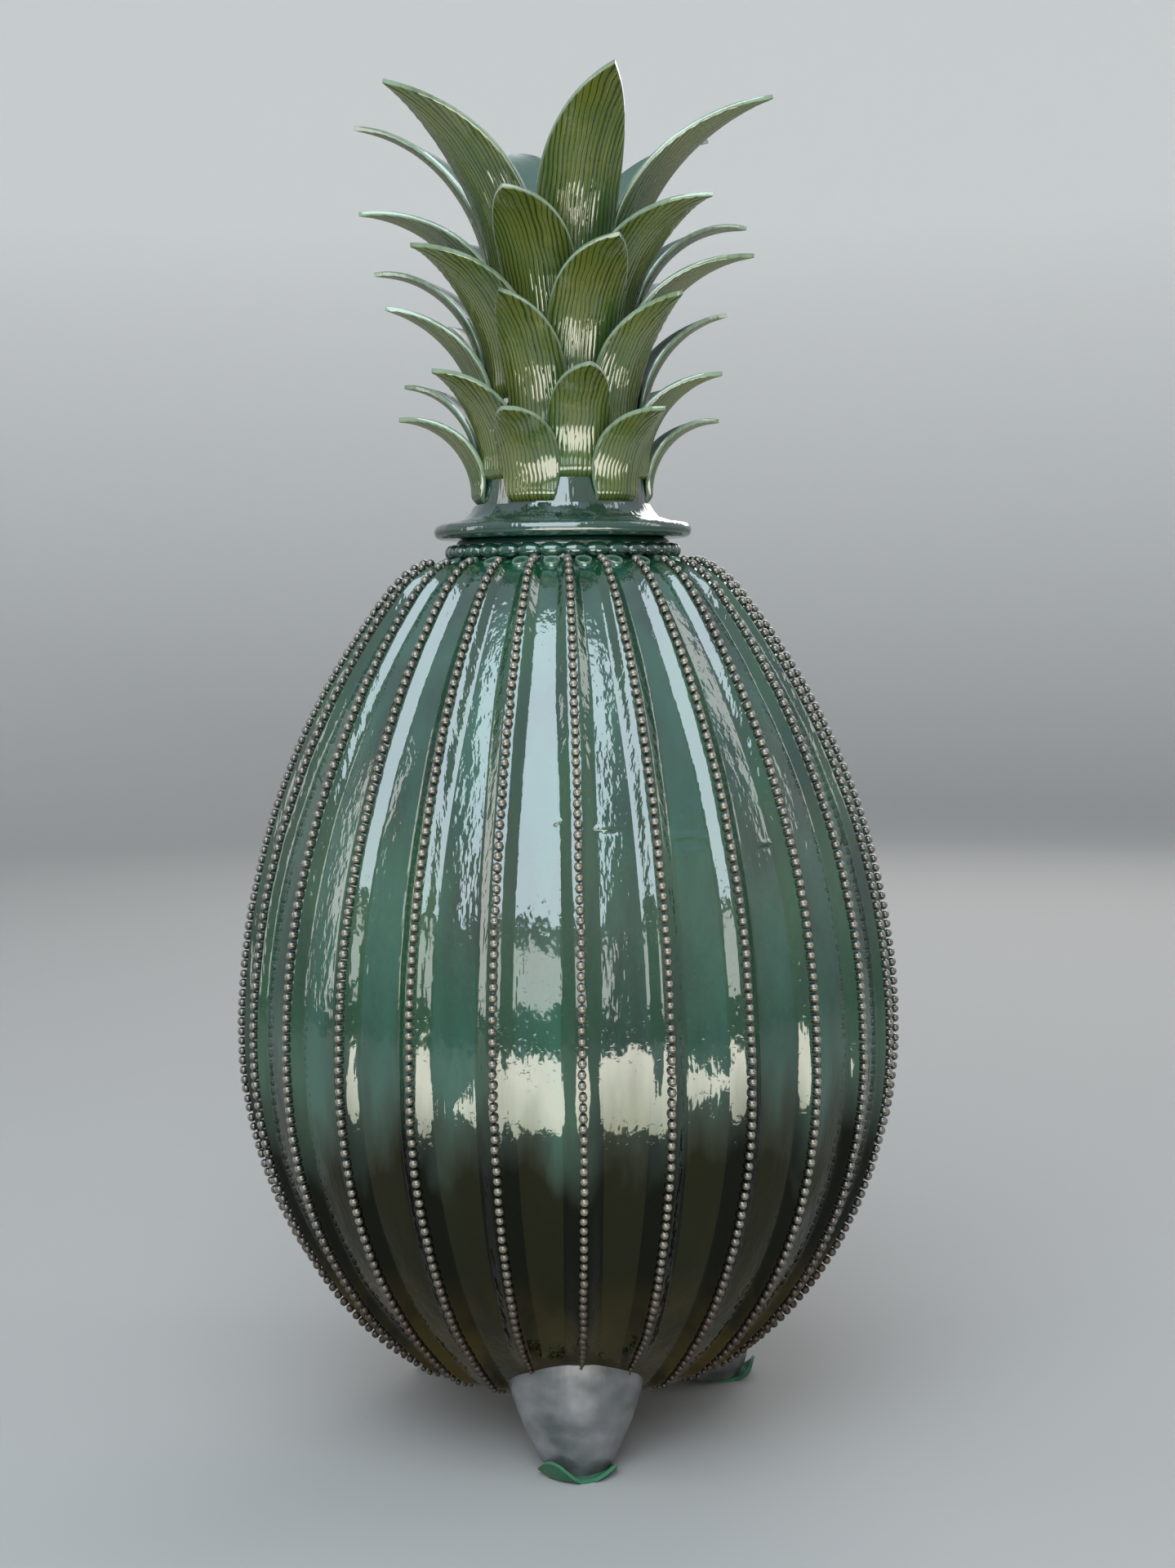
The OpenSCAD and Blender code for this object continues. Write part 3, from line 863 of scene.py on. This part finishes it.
class JAR_OT_feet(JarOperator):
    """Model the three leaning feet and the felt turned up round their ends."""

    bl_idname = "jar.feet"
    bl_label = "Feet and felt"

    def execute(self, context):
        sizes = settings().feet
        for seed, foot in enumerate(FEET):
            centre = foot_centre(foot)
            self.foot(foot, turn_of(centre), math.hypot(centre.x, centre.y), sizes, seed)
            self.felt(foot, centre, turn_of(centre), sizes)
        return {"FINISHED"}

    @staticmethod
    def foot(foot, turn, ring_r, sizes, seed):
        """One foot: a swelling cone that leans out from the body, cut flat over its felt."""
        body = settings().body
        path = WallPath(body, LOWER_LOW.z, body.neck_r)
        span = sizes.height / math.cos(sizes.lean)
        bulge = 4 * sizes.mid_r - 2 * sizes.low_r - 2 * sizes.top_r
        # The cone starts below the table and draws in over its lowest length
        below, end_h, facets = 0.008, 0.006, 5
        lump_h, lump_scale = 0.0007, 60.0
        # How deep its hidden upper end reaches into the wall
        sink = 0.003
        bm = bmesh.new()

        def shape(along, across):
            a = across * math.tau
            up = -below + along * (span + below)
            share = max(0.0, up / span)
            swell = sizes.low_r + share * (sizes.top_r - sizes.low_r + bulge * (1.0 - share))
            swell += sizes.facet * math.cos(facets * a + seed) - sizes.end_round * max(0.0, 1.0 - up / end_h) ** 2
            return Vector((swell * math.sin(a), -swell * math.cos(a), up))

        lay_grid(bm, 36, 64, shape)
        weld(bm)
        bmesh.ops.holes_fill(bm, edges=bm.edges[:], sides=0)
        lean = Matrix.Translation((0, -ring_r, 0)) @ Matrix.Rotation(-sizes.lean, 4, "X")
        bmesh.ops.transform(bm, verts=bm.verts[:], matrix=lean)
        for v in bm.verts:
            v.co += v.co.normalized() * lump_h * noise.noise(v.co * lump_scale + Vector((seed, 0, 0)))
            out = math.hypot(v.co.x, v.co.y)
            arm = Vector((out, v.co.z)) - path.lower_c
            wall_depth = body.lower_arc - arm.length
            floor_depth = v.co.z - LOWER_LOW.z
            if min(wall_depth, floor_depth) > sink:
                if floor_depth < wall_depth:
                    v.co.z -= floor_depth - sink
                else:
                    grown = path.lower_c + arm * ((body.lower_arc - sink) / arm.length)
                    v.co.x *= grown.x / out
                    v.co.y *= grown.x / out
                    v.co.z = grown.y
        cut = bmesh.ops.bisect_plane(
            bm, geom=bm.verts[:] + bm.edges[:] + bm.faces[:], plane_co=(0, 0, sizes.felt_t),
            plane_no=(0, 0, 1), clear_inner=True,
        )
        rim = [e for e in cut["geom_cut"] if isinstance(e, bmesh.types.BMEdge)]
        bmesh.ops.edgeloop_fill(bm, edges=rim)
        bmesh.ops.rotate(bm, verts=bm.verts[:], cent=(0, 0, 0), matrix=Matrix.Rotation(turn, 3, "Z"))
        make_piece(f"foot_{foot}_stub", bm, foot_glaze(), "jar", "body_glaze", f"foot_{foot}")

    @staticmethod
    def felt(foot, centre, turn, sizes):
        """Felt under one foot, cut round it by eye, with one flap turned up against it and one left sticking out."""
        low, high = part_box(f"foot_pad_{foot}")
        fold_r = (high.x - low.x) / 2 - sizes.felt_rim
        # Each flap's turn from the foot's outer side, its half width, its reach past the fold and its bend
        flaps = (
            (math.radians(-42), math.radians(46), 0.0095, math.radians(76)),
            (math.radians(62), math.radians(38), 0.0060, math.radians(56)),
        )

        def flap(a):
            """Reach of the felt past the fold and its bend there."""
            # The cut wavers, and the rim between the flaps bends up a little
            wide, fine, rim_bend = 0.0003, 0.0002, math.radians(14)
            reach = sizes.felt_rim + wide * math.sin(7 * a) + fine * math.sin(12 * a)
            bend = rim_bend
            for at, half, far, up in flaps:
                near = max(0.0, 1.0 - (turn_between(at, a) / half) ** 2) ** 0.8
                reach += near * (far - sizes.felt_rim)
                bend += near * (up - bend)
            return reach, bend

        def lay(a, share):
            """Distance out, height and slope of the felt's middle at a share of the way to its edge."""
            reach, bend = flap(a)
            past = share * (fold_r + reach) - fold_r
            if past <= 0.0:
                return fold_r + past, 0.0, 0.0
            slope = bend * min(1.0, past / sizes.felt_fold)
            round_r = sizes.felt_fold / bend
            rest = max(0.0, past - sizes.felt_fold)
            out = fold_r + round_r * math.sin(slope) + rest * math.cos(slope)
            return out, round_r * (1.0 - math.cos(slope)) + rest * math.sin(slope), slope

        # Shares of the way to the edge, closer together where the felt folds
        fine_from, steps = 0.62, 12
        under = [0.0, 0.4, 0.6] + [fine_from + (1.0 - fine_from) * i / steps for i in range(steps + 1)]
        section = [(share, -1.0) for share in under] + [(share, 1.0) for share in reversed(under)]
        bm = bmesh.new()
        edge = bm.verts.layers.float.new("edge")
        for v, x, y in new_grid(bm, len(section) - 1, 96):
            share, face = nearest(section, x)
            a = y * math.tau
            out, lift, slope = lay(a, share)
            offset = face * sizes.felt_t / 2
            out -= offset * math.sin(slope)
            lift += offset * math.cos(slope) + sizes.felt_t / 2
            v.co = Vector((centre.x, centre.y, 0.0)) + place(turn + a, out, 0.0, lift)
            v[edge] = 1.0 if share == under[-1] else 0.0
        weld(bm)
        felt = make_piece(f"felt_{foot}", bm, felt_cloth("Felt"), "jar", "felt", f"foot_pad_{foot}")

        # The cut edge, laid flat
        turns = [i * math.tau / 180 for i in range(180)]
        cut = [(fold_r + flap(a)[0], a) for a in turns]


class JAR_OT_lid(JarOperator):
    """Model the saucer of the lid and the hollow core of its crown."""

    bl_idname = "jar.lid"
    bl_label = "Lid and core"

    def execute(self, context):
        body, sizes = settings().body, settings().crown
        seat, top = RIM_Z, LID_HIGH.z
        rim_r = sizes.flange_t / 2
        flange = seat + sizes.flange_t
        rim_in = LID_HIGH.x - rim_r
        plug_out = body.neck_r - body.wall - sizes.plug_play
        plug_in = plug_out - sizes.plug_t
        under = top - sizes.lid_floor
        groove_in, core_ledge = 0.0022, 0.002
        groove_r = rim_in - groove_in
        foot_r = sizes.stem_r + core_ledge
        # Steps out and up from the groove to its lips, and from the core's foot to two places on the sweep
        outer_lip, inner_lip = (0.0012, -0.0001), (-0.0014, 0.0002)
        sweep_h = top - flange
        sweep = ((0.55 * sweep_h, 0.28 * sweep_h), (0.2 * sweep_h, 0.62 * sweep_h))
        bm = trace(
            bmesh.new(), (sizes.vent_r, under), (plug_in, under), (plug_in, seat - sizes.plug_h),
            (plug_out, seat - sizes.plug_h), (plug_out, seat), (rim_in, seat),
            ((rim_in, seat + rim_r), math.pi, 14), (groove_r + outer_lip[0], flange + outer_lip[1]),
            (groove_r, flange - sizes.groove), (groove_r + inner_lip[0], flange + inner_lip[1]),
            *((foot_r + out, flange + up) for out, up in sweep),
            (foot_r, top), (sizes.vent_r, top), (sizes.vent_r, under),
        )
        lathe(bm, 160)
        make_piece("saucer", bm, lid_glaze(), "lid", "body_glaze", "lid_saucer")

        inner = sizes.stem_wall
        dome_z = top + sizes.stem_h
        bm = trace(
            bmesh.new(), (sizes.stem_r - inner, top), (sizes.stem_r, top), (sizes.stem_top_r, dome_z),
            ((0.0, dome_z), math.pi / 2, 16), (0.0, dome_z + sizes.stem_top_r - inner),
            ((0.0, dome_z), -math.pi / 2, 12), (sizes.stem_r - inner, top),
        )
        for v in bm.verts:
            if v.co.z > dome_z:
                v.co.z = dome_z + (v.co.z - dome_z) * sizes.stem_cap / sizes.stem_top_r
        lathe(bm, 96)
        make_piece("core", bm, lid_glaze(), "lid", "body_glaze", "crown_stem")
        return {"FINISHED"}


class LeafForm:
    """The curve and outline of one row's leaves."""

    def __init__(self, sizes, row):
        self.slope = math.atan((sizes.stem_r - sizes.stem_top_r) / sizes.stem_h)
        reach, rise = sizes.row_reach[row], sizes.row_rise[row]
        self.chord = math.hypot(reach, rise)
        self.chord_a = math.atan2(rise, reach)
        self.bend = 2 * (math.pi / 2 + self.slope - self.chord_a)
        self.arc_r = self.chord / (2 * math.sin(self.bend / 2))
        self.foot_r = (
            sizes.stem_r - sizes.row_foot[row] * math.tan(self.slope) + sizes.leaf_play + sizes.leaf_t / 2
        )
        self.foot_z = LID_HIGH.z + sizes.row_foot[row]
        self.width = sizes.row_width[row]
        self.tip = self.chord / (1 + math.sqrt(1 - sizes.row_foot_w[row] / self.width))
        self.side_r = (self.tip ** 2 + self.width ** 2 / 4) / self.width

    def at(self, share):
        """Distance from the axis, height, slope and half width at a share of the leaf's length."""
        a = share * self.bend - self.slope
        out = self.arc_r * (math.cos(self.slope) - math.cos(a))
        up = self.arc_r * (math.sin(self.slope) + math.sin(a))
        along = out * math.cos(self.chord_a) + up * math.sin(self.chord_a)
        off = along - (self.chord - self.tip)
        half = math.sqrt(max(0.0, self.side_r ** 2 - off ** 2)) - (self.side_r - self.width / 2)
        return self.foot_r + out, self.foot_z + up, a, max(0.0, half)


class JAR_OT_leaves(JarOperator):
    """Model every leaf of the crown: combed outside, smooth inside, with a thick rounded rim."""

    bl_idname = "jar.leaves"
    bl_label = "Leaves"

    def execute(self, context):
        sizes = settings().crown
        for row in range(LEAF_ROWS):
            form = LeafForm(sizes, row)
            for spot in range(sizes.leaves):
                turn = sizes.row_turn[row] + spot * math.tau / sizes.leaves
                self.leaf(sizes, form, turn, row, spot)
        return {"FINISHED"}

    @staticmethod
    def section(lines):
        """Points round a leaf's section, as share across, side of the sheet and rim, where a highlight is painted."""
        edge, outer_steps, inner_steps = 0.95, 4 * lines, 8
        outer = [(-edge + 2 * edge * i / outer_steps, 1.0, 0.0) for i in range(outer_steps + 1)]
        right = [(0.985, 0.7, 1.0), (1.0, 0.0, 1.0), (0.985, -0.7, 1.0)]
        inner = [(edge - 2 * edge * i / inner_steps, -1.0, 0.0) for i in range(inner_steps + 1)]
        left = [(-across, -face, rim) for across, face, rim in right]
        return outer + right + inner + left + outer[:1]

    def leaf(self, sizes, form, turn, row, spot):
        """One leaf, wrapped round its outer and inner face and closed at its tip and foot."""
        rng = random.Random(100 * row + spot)
        sway = rng.uniform(-0.003, 0.003)
        drift = Vector((rng.uniform(0, 50), rng.uniform(0, 50), 0.0))
        points = self.section(round(form.width / sizes.comb_pitch))
        bm = bmesh.new()
        line, rim, along, inside = (
            bm.verts.layers.float.new(name) for name in ("line", "rim", "along", "inside")
        )
        # The combed lines fan out towards the tip and wander a little
        fan_from, fan_by, stray = 0.45, 0.9, 0.35
        thinning, cup_depth, smeared = 0.35, 0.0022, 0.07
        for v, share, y in new_grid(bm, 44, len(points) - 1):
            across, face, pale = nearest(points, y)
            out, z, a, half = form.at(share)
            side = across * half
            fan = 1.0 + fan_by * max(0.0, (share - fan_from) / (1.0 - fan_from)) ** 2
            wander = stray * noise.noise(drift + Vector((9.0 * share, 120.0 * side, 0.0)))
            combed = side / (sizes.comb_pitch * fan) + wander
            thick = sizes.leaf_t / 2 * (1.0 - thinning * share)
            ridge = abs(math.sin(math.pi * combed)) ** 0.6 - 0.5
            cup = cup_depth * math.sin(math.pi * share) * across ** 2
            lift = face * thick - cup + (sizes.comb_depth * ridge if face == 1.0 else 0.0)
            # The foot is smeared into the core
            lift -= sizes.leaf_t * max(0.0, 1.0 - share / smeared) ** 2
            turned = turn + math.asin(max(-1.0, min(1.0, side / out))) + sway * share ** 2 / out
            v.co = place(turned, out + lift * math.cos(a), 0.0, z - lift * math.sin(a))
            v[line], v[rim], v[along] = combed, pale, share
            v[inside] = 1.0 if face == -1.0 else 0.0
        weld(bm, 2e-5)
        bmesh.ops.holes_fill(bm, edges=bm.edges[:], sides=0)
        name = f"leaf_{row + 1}_{spot + 1}"
        make_piece(f"combed_{name}", bm, leaf_glaze("Leaf glaze"), "lid", "leaf_glaze", name)


# Stage


class JAR_OT_stage(JarOperator):
    """Set the camera, the pale ground and the soft light."""

    bl_idname = "jar.stage"
    bl_label = "Stage"

    def execute(self, context):
        self.camera(context)
        self.ground()
        self.lights(context)
        return {"FINISHED"}

    @staticmethod
    def camera(context):
        """Camera at the photograph's viewing angle."""
        data = bpy.data.cameras.new("camera")
        data.sensor_width = 36.0
        data.lens = 52.5
        data.clip_start = 0.05
        data.clip_end = 50.0
        eye = bpy.data.objects.new("camera", data)
        context.scene.collection.objects.link(eye)
        stand = (0.0, -1.115, 0.396)
        pitch, yaw, roll = math.radians(4.37), math.radians(-0.54), math.radians(-0.7)
        turn = Matrix.Rotation(yaw, 4, "Z") @ Matrix.Rotation(math.pi / 2 - pitch, 4, "X")
        eye.matrix_world = Matrix.Translation(stand) @ turn @ Matrix.Rotation(roll, 4, "Z")
        context.scene.camera = eye

    @staticmethod
    def ground():
        """A wide pale floor that curves up into a backdrop all round."""
        flat_r, curve_r, top_z, pale_z = 2.8, 1.0, 2.2, 1.2
        bm = trace(
            bmesh.new(), (0.0, 0.0), (flat_r, 0.0), ((flat_r, curve_r), math.pi / 2, 16), (flat_r + curve_r, top_z)
        )
        material, tree, shader, where = start_material("Ground")
        colours = settings().colours
        up = ramp(tree, height_at(tree, where), 0.0, pale_z)
        base = mix(tree, up, rgba(colours.floor), rgba(colours.wall))
        tree.links.new(base, shader.inputs["Base Color"])
        shader.inputs["Roughness"].default_value = 0.9
        make_object("ground", lathe(bm, 96), material)

    @staticmethod
    def lights(context):
        """A cool key from above, a warm panel by the floor, weak ones round about, and a sky."""
        middle = (0.0, 0.0, 0.33)
        # Each lamp's name, place, aim, size, power and tint
        lamps = (
            ("key", (-0.38, -1.60, 1.80), middle, (2.0, 2.3), 62.0, (0.76, 0.90, 1.0)),
            ("low", (0.20, -1.20, 0.02), (0.20, -1.18, 1.02), (1.3, 1.30), 25.0, (1.0, 0.94, 0.80)),
            ("far", (-0.15, -2.30, 0.50), middle, (1.5, 0.46), 5.4, (0.97, 1.0, 0.98)),
            ("left", (-2.3, -0.1, 0.9), middle, (0.6, 1.6), 7.0, (1.0, 0.98, 0.95)),
            ("right", (2.0, 0.1, 1.7), middle, (0.5, 1.8), 6.0, (1.0, 0.98, 0.95)),
            ("back", (0.7, 2.2, 1.5), middle, (1.6, 1.2), 20.0, (1.0, 0.99, 0.96)),
        )
        for name, spot, aim, size, power, tint in lamps:
            data = bpy.data.lights.new(name, "AREA")
            data.shape = "RECTANGLE"
            data.size, data.size_y = size
            data.energy = power
            data.color = tint
            lamp = bpy.data.objects.new(name, data)
            lamp.location = spot
            lamp.rotation_euler = (Vector(aim) - Vector(spot)).to_track_quat("-Z", "Y").to_euler()
            lamp.visible_camera = False
            context.scene.collection.objects.link(lamp)
        world = bpy.data.worlds.new("sky")
        world.use_nodes = True
        tree = world.node_tree
        aimed = add_node(tree, "ShaderNodeTexCoord").outputs["Generated"]
        low_sky, high_sky = (0.20, 0.21, 0.22), (0.66, 0.74, 0.82)
        sky = mix(tree, ramp(tree, height_at(tree, aimed), -0.1, 0.9), rgba(low_sky), rgba(high_sky))
        tree.links.new(sky, tree.nodes["Background"].inputs["Color"])
        context.scene.world = world
        context.scene.view_settings.view_transform = "Standard"


class JAR_PT_panel(bpy.types.Panel):
    """Lists the steps that build the jar."""

    bl_idname = "JAR_PT_panel"
    bl_label = "Pineapple Jar"
    bl_space_type = "VIEW_3D"
    bl_region_type = "UI"
    bl_category = "Pineapple Jar"

    def draw(self, context):
        for step in STEPS:
            self.layout.operator(step.bl_idname)


STEPS = (
    JAR_OT_stage, JAR_OT_shells, JAR_OT_ribs, JAR_OT_collar, JAR_OT_feet, JAR_OT_lid, JAR_OT_leaves,
)
CLASSES = (BodySizes, FootSizes, CrownSizes, GlazeColours, JarSettings, *STEPS, JAR_PT_panel)


def register():
    """Register the classes and the settings."""
    for cls in CLASSES:
        bpy.utils.register_class(cls)
    bpy.types.Scene.pineapple_jar = PointerProperty(type=JarSettings)


def unregister():
    """Remove the settings and the classes."""
    del bpy.types.Scene.pineapple_jar
    for cls in reversed(CLASSES):
        bpy.utils.unregister_class(cls)


def main():
    """Build the jar step by step."""
    register()
    bpy.ops.jar.stage()
    bpy.ops.jar.shells()
    bpy.ops.jar.ribs()
    bpy.ops.jar.collar()
    bpy.ops.jar.feet()
    bpy.ops.jar.lid()
    bpy.ops.jar.leaves()


if __name__ == "__main__":
    main()
